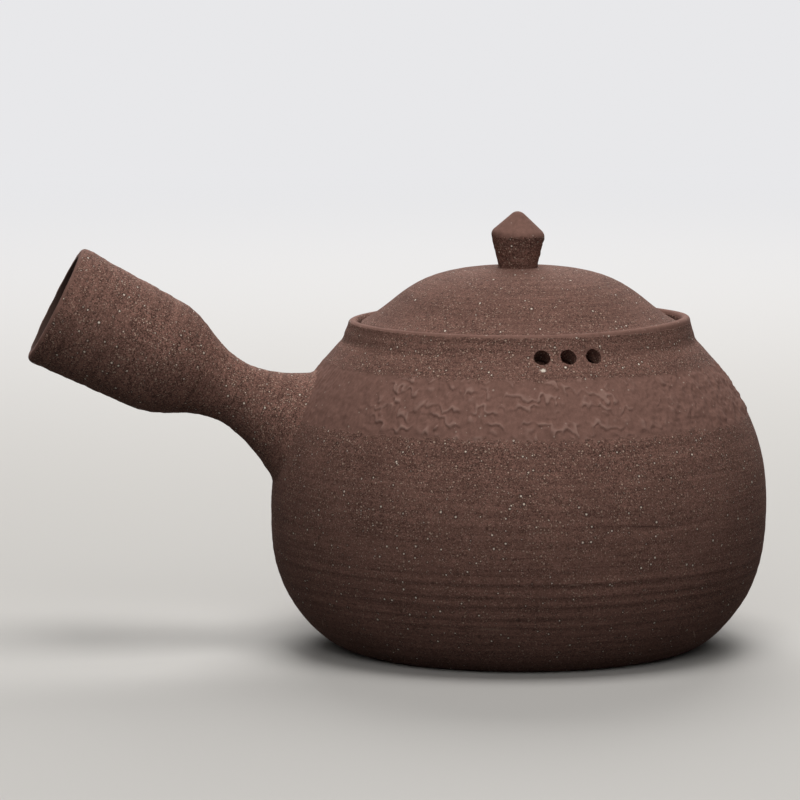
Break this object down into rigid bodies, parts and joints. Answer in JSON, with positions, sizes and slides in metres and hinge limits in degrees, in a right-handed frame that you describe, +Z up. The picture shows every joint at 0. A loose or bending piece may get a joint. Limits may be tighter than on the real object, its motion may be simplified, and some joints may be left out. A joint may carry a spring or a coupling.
{
  "type": "side-handle teapot",
  "caption": "Round unglazed stoneware teapot with a hollow side handle, a short spout beside it, an inset lift-off lid with a pointed knob, steam vents and a strainer behind the spout.",
  "frame": {"origin": "centre of the flat base, on the table", "axes": "+Z up through the knob; the handle points along -X; the spout points to +Y, turned 10 degrees towards the handle"},
  "size_m": [0.1933, 0.1534, 0.1143],
  "materials": {
    "stoneware": "matt unglazed, sandy, dark red-brown",
    "fine_clay": "matt unglazed, smooth, a shade lighter"
  },
  "bodies": {
    "pot": {"pot_body": "stoneware", "shoulder_band": "fine_clay", "handle": "stoneware", "spout": "stoneware", "strainer": "stoneware"},
    "lid": {"lid_dome": "stoneware", "lid_flange": "stoneware", "knob": "stoneware"}
  },
  "joints": [
    {"name": "lid_lift", "type": "slide", "parent": "pot", "child": "lid", "axis": [0, 0, 1], "range_m": [0, 0.06]}
  ]
}
